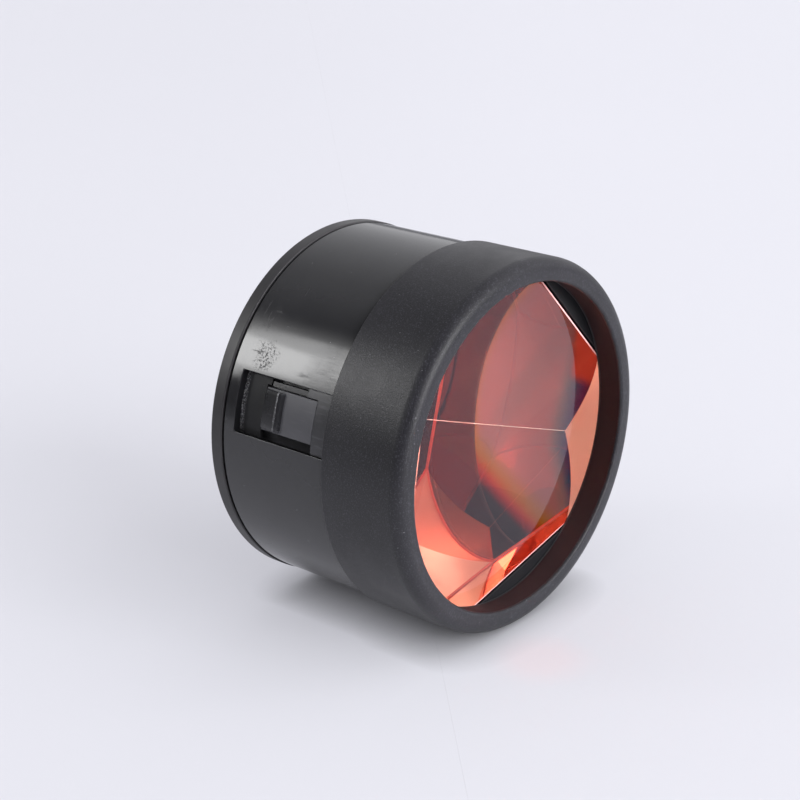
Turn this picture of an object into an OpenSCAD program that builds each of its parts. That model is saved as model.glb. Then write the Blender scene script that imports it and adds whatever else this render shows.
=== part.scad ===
// Surveying prism: a round corner-cube reflector in a snap-in canister.
// The canister lies on its side: the glass looks along -Y and +Z is up.
// The origin is on the surface it lies on, below the middle of its length.
// Every piece is drawn about the optical axis first, with the front rim at
// z = 0, +z leaving the glass and +y up, and lay() then puts it on its side.

/* [Glass] */
// Diameter of the clear circle that touches the three flats of the glass
aperture_d = 64; // [60:0.5:68]
// How far the round sides of the glass stand outside the clear circle
side_proud = 4.2; // [3.8:0.1:4.8]
// Width of the fine bevel along the three long edges of the glass
edge_bevel = 0.35; // [0.2:0.05:0.5]
// Width of the bevel round the front face of the glass
front_bevel = 0.5; // [0.3:0.05:0.7]
// Thickness of the copper mirror coat with its protective lacquer
coat_t = 0.2; // [0.15:0.01:0.3]
// Bare margin between the front face of the glass and the mirror coat
coat_margin = 1; // [0.6:0.1:2]

/* [Cell] */
// Wall of the cell that carries the glass
cell_wall = 0.95; // [0.8:0.05:1.4]
// Length of the cell along the axis
cell_len = 10; // [8:0.5:11]
// Gap between the flats of the glass and the cell
flat_gap = 0.45; // [0.3:0.05:0.7]

/* [Hood] */
// Length of the hood along the axis
hood_len = 20.4; // [19:0.2:23]
// Depth from the front rim to the seat of the gasket
lip_depth = 6; // [5:0.2:8]
// How far the lip of the hood reaches in over the round edge of the glass
lip_hold = 0.7; // [0.4:0.1:1.2]
// Wall of the sleeve of the hood over the barrel
sleeve_wall = 0.9; // [0.7:0.05:1.6]
// Radius of the outer round of the rim
rim_round = 2.8; // [1.5:0.1:3.2]
// Radius of the inner round of the rim
bore_round = 1; // [0.5:0.1:1.2]
// Thickness of the gasket between the lip and the glass
gasket_t = 0.4; // [0.3:0.05:0.8]

/* [Barrel] */
// Wall of the barrel
barrel_wall = 1.7; // [1.4:0.1:2.2]
// How far the tip of the glass reaches past the rear end of the barrel
tip_reach = 3.15; // [2.4:0.05:3.6]
// Radius of the three screw bosses in the barrel
boss_r = 2.6; // [2.3:0.1:2.8]
// Length of the screw bosses
boss_len = 9; // [8:0.5:12]
// Gap between the screw bosses and the spigot of the cap
boss_gap = 0.7; // [0.4:0.05:1.2]

/* [Latches] */
// Direction of the first latch, seen from the front, from +X towards +Z
latch_turn = 163.1; // [150:0.1:175]
// Width of the window in the barrel
window_w = 13; // [12.4:0.1:14]
// Distance from the rear end of the barrel to the window
window_margin = 2.85; // [2.2:0.05:4]
// How far the window reaches in under the hood
window_tuck = 2.4; // [1.5:0.1:3]
// Corner radius of the window
window_round = 0.6; // [0.3:0.1:1]
// Width of the spring tongue
tongue_w = 8.8; // [8:0.1:9]
// Free length of the spring tongue
tongue_len = 13.7; // [12:0.1:15]
// Thickness of the tongue and of the plate that it grows from
tongue_t = 1.2; // [0.9:0.1:1.4]
// Depth of the tongue below the surface of the barrel
tongue_sink = 0.6; // [0.4:0.1:0.9]
// Visible length of the plate between the hood and the tongue
root_reach = 4.4; // [3.5:0.1:6]
// Height of the catch rib above the tongue
rib_h = 1.3; // [0.9:0.05:1.4]
// Length of the catch rib along the axis
rib_len = 5.3; // [4.5:0.1:6]
// Width of the catch rib
rib_w = 8.2; // [7:0.1:8.4]
// Width of the guard rail beside the tongue
rail_w = 1.05; // [0.8:0.05:1.1]
// Length of the guard rail
rail_len = 9.1; // [7:0.1:10]
// Slit between the tongue and the guard rail
slit_w = 0.25; // [0.2:0.05:0.35]
// Distance that the plate's corner reaches past the start of the slit
corner_reach = 3; // [2:0.1:4]
// Thickness of the flange that holds the plate behind the barrel's wall
flange_t = 1; // [0.8:0.1:1.3]
// How far that flange reaches past the window on each side
flange_reach = 2; // [1.5:0.1:2.5]
// Gap at the root of the tongue, where the plastic bends
bend_gap = 0.15; // [0.12:0.01:0.2]
// Room between the tongue and the floor of its pocket
pocket_room = 1.6; // [1.5:0.1:2]
// Thickness of the floor and of the side walls of the pocket
pocket_wall = 0.8; // [0.6:0.1:1]

/* [Rear cap] */
// How far the rim of the cap stands proud of the barrel
cap_proud = 0.25; // [0.1:0.05:0.4]
// Thickness of the rim of the cap
cap_rim_t = 3; // [2.6:0.1:4]
// Wall of the cap
cap_wall = 2; // [1.6:0.1:2.4]
// Small chamfer on the edges of the rim
cap_chamfer = 0.3; // [0.2:0.05:0.5]
// Length of the spigot of the cap inside the barrel
spigot_len = 2.5; // [2:0.1:2.6]
// Wall of the spigot
spigot_wall = 1.6; // [1.2:0.1:1.8]
// Thickness of the seal between the barrel and the cap
seal_t = 0.5; // [0.4:0.05:0.8]
// Depth of the seal below the surface of the barrel
seal_sink = 0.8; // [0.5:0.05:1.1]
// Room behind the tip of the glass
tip_room = 1; // [0.8:0.1:2]
// Slant of the side of the raised back panel
panel_slant = 1.5; // [0.8:0.1:2]

/* [Clamp] */
// Outer radius of the follower that presses on the glass
follower_r = 26; // [25:0.1:26.4]
// Length of the follower
follower_len = 12; // [10:0.5:13]
// Thickness of the cushions
cushion_t = 1.2; // [0.8:0.1:1.6]
// Side of each square cushion
cushion_w = 7; // [5:0.5:8]
// Outer radius of the spring washer
washer_r = 22; // [20:0.5:24]
// Inner radius of the spring washer
washer_bore_r = 12; // [10:0.5:14]
// Thickness of the spring washer
washer_t = 0.8; // [0.6:0.1:1]

/* [Screws] */
// Radius of the screw shank
screw_r = 1; // [0.8:0.05:1.1]
// Radius of the screw head
screw_head_r = 1.9; // [1.7:0.1:2.1]
// Length of the screw
screw_len = 7; // [6:0.5:8]
// Radius of the threaded insert
insert_r = 1.6; // [1.45:0.05:1.8]
// Length of the threaded insert
insert_len = 4; // [3:0.5:5]

/* [Clearances] */
// Radial gap between the glass and the bore of the cell
glass_fit = 0.15; // [0.1:0.01:0.2]
// Radial gap between round pieces that are pushed together
push_fit = 0.1; // [0.06:0.01:0.15]
// Radial gap round a screw
screw_fit = 0.02; // [0.02:0.01:0.04]

/* [Hidden] */
$fn = 96;

// Three latches, cushions and screws stand a third of a turn apart
third = 120;
left = latch_turn;
upper = latch_turn - third;
lower = latch_turn + third;
boss_turn = latch_turn + third / 2;

// Angle between the optical axis and the normal of each mirror face
face_lean = atan(sqrt(2));
// A length that is longer than any piece, for cuts
far = 4 * aperture_d;
// A little extra length, so that a cut passes the surface it opens
over = 0.5;

// Radii, built outwards from the glass
glass_r = aperture_d / 2 + side_proud;
lip_bore_r = glass_r - lip_hold;
cell_bore_r = glass_r + glass_fit;
cell_r = cell_bore_r + cell_wall;
barrel_bore_r = cell_r + push_fit;
barrel_r = barrel_bore_r + barrel_wall;
sleeve_bore_r = barrel_r + push_fit / 2;
hood_r = barrel_r + sleeve_wall;
cap_r = barrel_r + cap_proud;
spigot_r = barrel_bore_r - push_fit;
spigot_bore_r = spigot_r - spigot_wall;
screw_circle_r = spigot_bore_r - boss_gap - boss_r;
seal_r = barrel_r - seal_sink;
tongue_r = barrel_r - tongue_sink;
rail_drop = tongue_t / 2;
pocket_r = tongue_r - tongue_t - pocket_room;

// Depths behind the front rim
glass_z = lip_depth + gasket_t;
glass_len = aperture_d / 2 * sqrt(2);
tip_z = glass_z + glass_len;
barrel_end = tip_z - tip_reach;
cap_face = barrel_end + seal_t;
cap_back = cap_face + cap_rim_t;
pan_z = tip_z + coat_t * sqrt(3) + tip_room;
total_len = pan_z + cap_wall;
window_z = hood_len - window_tuck;
window_end = barrel_end - window_margin;
root_z = hood_len + root_reach;
tongue_end = root_z + tongue_len;
pocket_end = barrel_end - spigot_len - push_fit;
follower_end = cap_back - cap_wall;
follower_z = follower_end - follower_len;
pan_r = follower_r + 2 * push_fit;
collar_r = pan_r + cap_wall;

// Puts a piece drawn about the axis on its side
module lay() {
    translate([0, -total_len / 2, hood_r])
        rotate([90, 0, 0])
            children();
}

// A ring from depth z0 to depth z1 behind the front rim
module ring(r_out, r_in, z0, z1) {
    difference() {
        translate([0, 0, -z1])
            cylinder(r = r_out, h = z1 - z0);
        translate([0, 0, -z1 - over])
            cylinder(r = r_in, h = z1 - z0 + 2 * over);
    }
}

// A block beside the axis: it reaches from r0 to r1 outwards, from t0 to t1
// across and from depth z0 to depth z1, in the direction turn
module block(turn, r0, r1, t0, t1, z0, z1) {
    rotate([0, 0, turn])
        translate([r0, t0, -z1])
            cube([r1 - r0, t1 - t0, z1 - z0]);
}

// A corner of a cube with its tip on the axis, opening towards the front.
// grow moves its three faces outwards.
module corner(grow) {
    translate([0, 0, -tip_z - grow * sqrt(3)])
        rotate([0, 0, latch_turn])
            rotate([0, -face_lean, 0])
                rotate([0, 0, -45])
                    cube(far);
}

// Cuts the fine bevel along one long edge of the glass
module long_edge_cut(turn) {
    translate([0, 0, -tip_z])
        rotate([0, 0, turn])
            rotate([0, face_lean - 90, 0])
                translate([-far / 2, -far / 2, -far + edge_bevel / 2])
                    cube(far);
}

// Cuts the bevel between the front face and one flat of the glass
module flat_edge_cut(turn) {
    rotate([0, 0, turn])
        translate([aperture_d / 2 - front_bevel, -far / 2, -glass_z])
            rotate([0, 45, 0])
                translate([-far, 0, 0])
                    cube([2 * far, far, far]);
}

module corner_cube() {
    // cone that bevels the round edge of the front face
    cone_len = glass_len + glass_r - front_bevel;
    color([0.98, 0.60, 0.48, 0.6]) lay() difference() {
        intersection() {
            translate([0, 0, -tip_z])
                cylinder(r = glass_r, h = glass_len);
            translate([0, 0, -tip_z])
                cylinder(r1 = cone_len, r2 = 0, h = cone_len);
            corner(0);
        }
        for (turn = [left, upper, lower]) {
            long_edge_cut(turn + third / 2);
            flat_edge_cut(turn);
        }
    }
}

module mirror_coat() {
    color([0.72, 0.36, 0.24]) lay() difference() {
        intersection() {
            corner(coat_t);
            ring(glass_r - coat_margin, 0, glass_z + coat_margin,
                tip_z + coat_t * sqrt(3));
        }
        corner(0);
    }
}

module front_gasket() {
    color([0.08, 0.08, 0.08]) lay()
        ring(cell_r, lip_bore_r, lip_depth, glass_z);
}

module prism_cell() {
    color([0.14, 0.14, 0.15]) lay() difference() {
        translate([0, 0, -glass_z - cell_len])
            cylinder(r = cell_r, h = cell_len);
        intersection() {
            translate([0, 0, -glass_z - cell_len - over])
                cylinder(r = cell_bore_r, h = cell_len + 2 * over);
            corner(flat_gap);
        }
    }
}

// Half section of the hood, radius to the right and depth downwards
module hood_section() {
    rim_w = hood_r - lip_bore_r;
    // the lip below its rounds
    translate([lip_bore_r, -lip_depth])
        square([rim_w, lip_depth - rim_round]);
    // between the two rounds
    translate([lip_bore_r + bore_round, -rim_round - over])
        square([rim_w - rim_round - bore_round, rim_round + over]);
    // inside of the lip up to its small round
    translate([lip_bore_r, -rim_round - over])
        square([bore_round, rim_round + over - bore_round]);
    translate([hood_r - rim_round, -rim_round])
        circle(r = rim_round);
    translate([lip_bore_r + bore_round, -bore_round])
        circle(r = bore_round);
    // sleeve over the barrel
    translate([sleeve_bore_r, -hood_len])
        square([hood_r - sleeve_bore_r, hood_len - lip_depth + over]);
}

module hood() {
    color([0.20, 0.20, 0.22]) lay()
        rotate_extrude()
            hood_section();
}

// Opening with round corners in the barrel's wall for one latch
module window(turn) {
    z0 = window_z;
    z1 = window_end;
    half = window_w / 2;
    in_r = barrel_bore_r - 4 * barrel_wall;
    out_r = barrel_r + barrel_wall;
    block(turn, in_r, out_r, -half + window_round, half - window_round,
        z0, z1);
    block(turn, in_r, out_r, -half, half,
        z0 + window_round, z1 - window_round);
    for (z = [z0 + window_round, z1 - window_round])
        for (side = [-1, 1])
            rotate([0, 0, turn])
                translate([in_r, side * (half - window_round), -z])
                    rotate([0, 90, 0])
                        cylinder(r = window_round, h = out_r - in_r);
}

// Screw boss with a web to the wall of the barrel
module boss(turn) {
    rotate([0, 0, turn])
        translate([screw_circle_r, 0, -barrel_end])
            cylinder(r = boss_r, h = boss_len);
    block(turn, screw_circle_r, barrel_bore_r + barrel_wall / 2,
        -boss_r / 2, boss_r / 2,
        barrel_end - boss_len, barrel_end - spigot_len - over);
}

module barrel() {
    color([0.11, 0.11, 0.12]) lay() difference() {
        union() {
            difference() {
                ring(barrel_r, barrel_bore_r, lip_depth, barrel_end);
                for (turn = [left, upper, lower])
                    window(turn);
            }
            for (k = [0, 1, 2])
                boss(boss_turn + k * third);
        }
        for (k = [0, 1, 2])
            rotate([0, 0, boss_turn + k * third])
                translate([screw_circle_r, 0, -barrel_end - over]) {
                    cylinder(r = insert_r, h = insert_len + over);
                    cylinder(r = screw_r + 2 * screw_fit,
                        h = screw_len + over);
                }
    }
}

// What lies inside both a ring about the axis and a block in its direction
module arc(turn, r_out, r_in, t0, t1, z0, z1) {
    intersection() {
        rotate([0, 0, turn + 90])
            ring(r_out, r_in, z0 - over, z1 + over);
        block(turn, 0, r_out + over, t0, t1, z0, z1);
    }
}

// Fixed plate of a latch: it fills the front of the window, is held by a
// flange behind the wall, carries a guard rail beside the tongue and closes
// the pocket behind the tongue
module latch_plate(turn) {
    half = window_w / 2 - push_fit;
    flange_half = window_w / 2 + flange_reach;
    flange_r = barrel_bore_r - push_fit;
    front_z = glass_z + cell_len + push_fit;
    rail_in = -tongue_w / 2 - slit_w;
    rail_r = tongue_r - rail_drop;
    corner_z = root_z + corner_reach;
    pocket_in_r = pocket_r - pocket_wall;
    color([0.17, 0.17, 0.18]) lay() {
        // plate in the window
        arc(turn, tongue_r, flange_r - flange_t, -half, half,
            window_z + push_fit, root_z);
        // its corner beside the start of the slit
        arc(turn, tongue_r, flange_r - flange_t, -half, rail_in,
            root_z - over, corner_z);
        // guard rail
        arc(turn, rail_r, rail_r - tongue_t, rail_in - rail_w, rail_in,
            corner_z - over, corner_z + rail_len);
        // flange behind the wall
        arc(turn, flange_r, flange_r - flange_t, -flange_half, flange_half,
            front_z, root_z);
        // floor of the pocket
        arc(turn, pocket_r, pocket_in_r, -flange_half, flange_half,
            root_z - pocket_wall, pocket_end);
        // front wall of the pocket
        arc(turn, flange_r - flange_t / 2, pocket_in_r,
            -flange_half, flange_half, root_z - pocket_wall, root_z);
        // side walls of the pocket
        for (t = [-flange_half, flange_half - pocket_wall])
            arc(turn, flange_r, pocket_in_r, t, t + pocket_wall,
                root_z - pocket_wall, pocket_end);
    }
}

// Half section of the catch rib: a long rise from the tip to a round crest
// and a steep front
module rib_section() {
    crest_r = rib_h / 2;
    steep = rib_h / 3;
    foot_z = tongue_end - rib_len;
    crest_z = foot_z + steep + crest_r;
    polygon([
        [tongue_r - tongue_t / 2, -tongue_end],
        [tongue_r + rib_h / 3, -tongue_end],
        [tongue_r + rib_h - crest_r / 4, -crest_z - crest_r],
        [tongue_r + rib_h - crest_r, -crest_z],
        [tongue_r, -foot_z],
        [tongue_r - tongue_t / 2, -foot_z]
    ]);
    translate([tongue_r + rib_h - crest_r, -crest_z])
        circle(r = crest_r);
}

// Spring tongue with its catch rib: it bends inwards at its root
module latch_tongue(turn) {
    root_face = root_z + bend_gap;
    color([0.19, 0.19, 0.20]) lay() {
        arc(turn, tongue_r, tongue_r - tongue_t,
            -tongue_w / 2, tongue_w / 2, root_face, tongue_end);
        intersection() {
            rotate([0, 0, turn + 90])
                rotate_extrude()
                    rib_section();
            block(turn, 0, 2 * hood_r, -rib_w / 2, rib_w / 2,
                root_face, tongue_end + over);
        }
    }
}

// Soft pad between one mirror face and the follower
module cushion(turn) {
    near = cushion_w / 2;
    color([0.30, 0.30, 0.31]) lay()
        translate([0, 0, -tip_z])
            rotate([0, 0, turn])
                rotate([0, -face_lean, 0])
                    rotate([0, 0, -45])
                        translate([near, near, -coat_t - cushion_t])
                            cube([cushion_w, cushion_w, cushion_t]);
}

module follower() {
    color([0.24, 0.24, 0.26]) lay() difference() {
        translate([0, 0, -follower_end])
            cylinder(r = follower_r, h = follower_len);
        corner(coat_t + cushion_t);
    }
}

module spring_washer() {
    color([0.75, 0.76, 0.78]) lay()
        rotate_extrude()
            polygon([
                [washer_bore_r, -follower_end],
                [washer_r, -pan_z + washer_t],
                [washer_r, -pan_z],
                [washer_bore_r, -follower_end - washer_t]
            ]);
}

module rear_seal() {
    color([0.03, 0.03, 0.03]) lay()
        ring(seal_r, spigot_r + push_fit / 2, barrel_end, cap_face);
}

// Half section of the rear cap, radius to the right, depth downwards: the
// raised panel, the rim, the spigot and the collar that guides the follower
module cap_section() {
    plate_z = cap_back - cap_wall;
    inner_z = cap_face - seal_t - spigot_len;
    polygon([
        [0, -total_len],
        [collar_r, -total_len],
        [collar_r + panel_slant, -cap_back],
        [cap_r - cap_chamfer, -cap_back],
        [cap_r, -cap_back + cap_chamfer],
        [cap_r, -cap_face - cap_chamfer],
        [cap_r - cap_chamfer, -cap_face],
        [spigot_r, -cap_face],
        [spigot_r, -inner_z],
        [spigot_bore_r, -inner_z],
        [spigot_bore_r, -plate_z],
        [collar_r, -plate_z],
        [collar_r, -inner_z],
        [pan_r, -inner_z],
        [pan_r, -pan_z],
        [0, -pan_z]
    ]);
}

// Room in the cap for one screw and its boss: the countersunk hole, a way in
// for the screwdriver and a notch in the collar
module screw_room() {
    head_r = screw_head_r + screw_fit;
    translate([0, 0, -cap_back - over]) {
        cylinder(r = screw_r + 2 * screw_fit, h = cap_wall + 2 * over);
        cylinder(r1 = head_r + over, r2 = screw_r + screw_fit,
            h = screw_head_r - screw_r + over);
    }
    translate([0, 0, -total_len - over])
        cylinder(r = head_r, h = total_len - cap_back + over);
    translate([0, 0, -cap_back + cap_wall])
        cylinder(r = boss_r + boss_gap / 2, h = boss_len);
}

module rear_cap() {
    color([0.19, 0.19, 0.20]) lay() difference() {
        rotate_extrude()
            cap_section();
        for (k = [0, 1, 2])
            rotate([0, 0, boss_turn + k * third])
                translate([screw_circle_r, 0, 0])
                    screw_room();
    }
}

// Countersunk screws of the rear cap
module cap_screws() {
    color([0.55, 0.56, 0.58]) lay()
        for (k = [0, 1, 2])
            rotate([0, 0, boss_turn + k * third])
                translate([screw_circle_r, 0, -cap_back])
                    difference() {
                        union() {
                            cylinder(r = screw_r, h = screw_len);
                            cylinder(r1 = screw_head_r, r2 = screw_r,
                                h = screw_head_r - screw_r);
                        }
                        for (bar = [0, 90])
                            rotate([0, 0, bar])
                                translate([-screw_head_r * 0.6,
                                        -screw_r / 5, -over])
                                    cube([screw_head_r * 1.2,
                                        screw_r / 2.5,
                                        over + screw_r / 2]);
                    }
}

// Brass inserts in the bosses of the barrel
module threaded_inserts() {
    color([0.80, 0.65, 0.30]) lay()
        for (k = [0, 1, 2])
            rotate([0, 0, boss_turn + k * third])
                translate([screw_circle_r, 0, -barrel_end])
                    difference() {
                        cylinder(r = insert_r, h = insert_len);
                        translate([0, 0, -over])
                            cylinder(r = screw_r + screw_fit,
                                h = insert_len + 2 * over);
                    }
}

module latch_plate_left() latch_plate(left);
module latch_plate_upper() latch_plate(upper);
module latch_plate_lower() latch_plate(lower);
module latch_tongue_left() latch_tongue(left);
module latch_tongue_upper() latch_tongue(upper);
module latch_tongue_lower() latch_tongue(lower);
module cushion_left() cushion(left);
module cushion_upper() cushion(upper);
module cushion_lower() cushion(lower);

hood();
front_gasket();
corner_cube();
mirror_coat();
prism_cell();
barrel();
latch_plate_left();
latch_plate_upper();
latch_plate_lower();
latch_tongue_left();
latch_tongue_upper();
latch_tongue_lower();
cushion_left();
cushion_upper();
cushion_lower();
follower();
spring_washer();
rear_seal();
rear_cap();
cap_screws();
threaded_inserts();
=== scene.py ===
import math

import bmesh
import bpy
from mathutils import Matrix, Vector


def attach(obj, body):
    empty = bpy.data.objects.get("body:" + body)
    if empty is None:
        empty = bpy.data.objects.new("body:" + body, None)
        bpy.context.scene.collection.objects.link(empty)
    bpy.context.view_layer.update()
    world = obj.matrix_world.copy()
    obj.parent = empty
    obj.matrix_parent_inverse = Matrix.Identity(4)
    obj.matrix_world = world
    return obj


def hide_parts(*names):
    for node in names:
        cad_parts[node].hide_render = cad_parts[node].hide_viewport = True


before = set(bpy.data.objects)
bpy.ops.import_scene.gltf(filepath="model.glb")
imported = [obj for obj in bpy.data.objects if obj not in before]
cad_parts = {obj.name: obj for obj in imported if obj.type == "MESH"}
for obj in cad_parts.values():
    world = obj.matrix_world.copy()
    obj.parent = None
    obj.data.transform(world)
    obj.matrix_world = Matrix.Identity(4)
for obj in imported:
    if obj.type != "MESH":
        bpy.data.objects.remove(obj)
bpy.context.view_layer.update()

# Sizes of the canister in mm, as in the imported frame
GLASS_R = 36.2
GLASS_FRONT = 6.4
TIP = 51.655
ROOF_BEVEL = 0.075
FLAT_BEVEL_R = 31.42
FLAT_BEVEL_SLOPE = -2.2
BARREL_R = 39.1
BARREL_BORE = 37.4
BARREL_END = 48.5
HOOD_R = 40.0
HOOD_LEN = 20.4
LIP_BORE = 35.5
LIP_FRONT = 35.0
LEFT, UPPER, LOWER = 163.1, 43.1, 283.1
TURNS = {"left": LEFT, "upper": UPPER, "lower": LOWER}
WIN_HALF = 6.5
WIN_FRONT = 18.0
WIN_REAR = 45.65
WIN_ROUND = 0.6
TONGUE_R = 38.5
TONGUE_HALF = 4.4
TONGUE_REAR = 38.5
PLATE_REAR = 24.8
RAIL_EDGE = -4.65
POCKET_HALF = 8.5
POCKET_FRONT = 24.0
POCKET_REAR = 45.9
SCREW_CIRCLE = 32.4
BOSS_R = 2.6
INSERT_R = 1.62

# Places and sizes in the shared frame in metres
FLOOR_HALF = 40.0
AXIS_HEIGHT = 0.040
HOOD_FRONT = -0.0275
MIDDLE = Vector((0.0, 0.0, AXIS_HEIGHT))
# Level directions as the camera sees them
ACROSS = Vector((0.65395, -0.75654, 0.0))
AWAY = Vector((0.75654, 0.65395, 0.0))

GLASS_IOR = 1.517

# Takes (x, y, depth) in mm about the optical axis to metres in the shared frame
LAY = Matrix(((0.001, 0, 0, 0), (0, 0, 0.001, HOOD_FRONT), (0, 0.001, 0, AXIS_HEIGHT),
              (0, 0, 0, 1)))


# Materials
def feed(tree, socket, value):
    """Links a socket to another one, or sets its value."""
    if isinstance(value, bpy.types.NodeSocket):
        tree.links.new(value, socket)
    else:
        socket.default_value = value


def node(tree, kind, **values):
    """A shader node; each value sets an attribute or an input, or links a socket to it."""
    n = tree.nodes.new("ShaderNode" + kind)
    for key, value in values.items():
        if hasattr(n, key) and key not in n.inputs:
            setattr(n, key, value)
        else:
            feed(tree, n.inputs[key], value)
    return n


def math_node(tree, operation, *values):
    n = tree.nodes.new("ShaderNodeMath")
    n.operation = operation
    for socket, value in zip(n.inputs, values):
        feed(tree, socket, value)
    return n.outputs[0]


def vector_node(tree, operation, *values):
    n = tree.nodes.new("ShaderNodeVectorMath")
    n.operation = operation
    for socket, value in zip(n.inputs, values):
        feed(tree, socket, value)
    is_number = operation in ("LENGTH", "DISTANCE", "DOT_PRODUCT")
    return n.outputs["Value" if is_number else "Vector"]


def remap(tree, value, a, b, c, d, smooth=False):
    """Takes the range from a to b to the range from c to d, and holds it there."""
    n = tree.nodes.new("ShaderNodeMapRange")
    n.interpolation_type = "SMOOTHSTEP" if smooth else "LINEAR"
    tree.links.new(value, n.inputs[0])
    for socket, v in zip(n.inputs[1:5], (a, b, c, d)):
        socket.default_value = v
    return n.outputs[0]


def mix(tree, factor, a, b):
    """From colour a to colour b; each is a socket or a tuple of three numbers."""
    n = tree.nodes.new("ShaderNodeMix")
    n.data_type = "RGBA"
    feed(tree, n.inputs[0], factor)
    for socket, colour in ((n.inputs[6], a), (n.inputs[7], b)):
        feed(tree, socket, (*colour, 1) if isinstance(colour, tuple) else colour)
    return n.outputs[2]


def start_material(name):
    """A material with its node tree, its shader and the object coordinates."""
    m = bpy.data.materials.new(name)
    m.use_nodes = True
    tree = m.node_tree
    tree.nodes.clear()
    out = tree.nodes.new("ShaderNodeOutputMaterial")
    shader = tree.nodes.new("ShaderNodeBsdfPrincipled")
    tree.links.new(shader.outputs[0], out.inputs[0])
    place = tree.nodes.new("ShaderNodeTexCoord").outputs["Object"]
    return m, tree, shader, place


def noise(tree, place, scale, detail=3.0, rough=0.55, stretch=None):
    """Noise of scale per metre; a small number in stretch draws it out that way."""
    if stretch:
        place = node(tree, "Mapping", Vector=place, Scale=stretch).outputs[0]
    return node(tree, "TexNoise", Vector=place, Scale=scale, Detail=detail,
                Roughness=rough).outputs["Fac"]


def specks(tree, place, scale, size, share):
    """Mask of sparse dust specks: cells of 1/scale metres, of which a share has one."""
    v = node(tree, "TexVoronoi", Vector=place, Scale=scale)
    near = remap(tree, v.outputs["Distance"], size, size * 0.4, 0.0, 1.0)
    chosen = math_node(tree, "GREATER_THAN",
                       node(tree, "SeparateColor", Color=v.outputs["Color"]).outputs[0],
                       1.0 - share)
    return math_node(tree, "MULTIPLY", near, chosen)


def bump(tree, shader, height, strength, distance, normal=None):
    """Bump of distance in metres, on top of another one where normal is given."""
    n = node(tree, "Bump", Height=height, Strength=strength, Distance=distance)
    if normal is not None:
        tree.links.new(normal, n.inputs["Normal"])
    tree.links.new(n.outputs[0], shader.inputs["Normal"])
    return n.outputs[0]


def plastic(name, dark, light, rough, spread, grain, strength, dust=0.0, wear=0.0, gloss=0.5,
            scratched=0.0, speckled=0.0):
    """Moulded plastic with grain, and with dust, worn edges, specks or scratches if asked.

    The base colour lies between dark and light, the roughness between rough - spread and
    rough + spread, and grain is in 1/m.
    """
    m, tree, shader, place = start_material(name)
    broad = noise(tree, place, 60.0, 4.0)
    fine = noise(tree, place, grain, 2.0)
    colour = mix(tree, remap(tree, broad, 0.3, 0.7, 0.0, 1.0), dark, light)
    if dust:
        mask = specks(tree, place, 500.0, 0.05, dust)
        colour = mix(tree, mask, colour, (0.26, 0.26, 0.28))
    if wear:
        edge = node(tree, "NewGeometry").outputs["Pointiness"]
        worn = remap(tree, edge, 0.52, 0.62, 0.0, wear)
        colour = mix(tree, worn, colour, tuple(4 * c for c in light))
    if speckled:
        colour = mix(tree, remap(tree, fine, 0.54, 0.70, 0.0, speckled), colour,
                     tuple(5 * c for c in light))
    if scratched:
        lines = noise(tree, place, 1500.0, 3.0, 0.6, (1.0, 0.10, 1.0))
        colour = mix(tree, remap(tree, lines, 0.56, 0.70, 0.0, scratched), colour,
                     tuple(3 * c for c in light))
    tree.links.new(colour, shader.inputs["Base Color"])
    tree.links.new(remap(tree, noise(tree, place, 140.0, 5.0), 0.3, 0.7,
                         rough - spread, rough + spread), shader.inputs["Roughness"])
    shader.inputs["Specular IOR Level"].default_value = gloss
    bump(tree, shader, fine, strength, 0.00005)
    return m


def around(tree, place):
    """(angle about the optical axis in radians, distance along it) of a point."""
    parts = node(tree, "SeparateXYZ", Vector=place).outputs
    up = math_node(tree, "SUBTRACT", parts[2], AXIS_HEIGHT)
    return math_node(tree, "ARCTAN2", up, parts[0]), parts[1]


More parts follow.
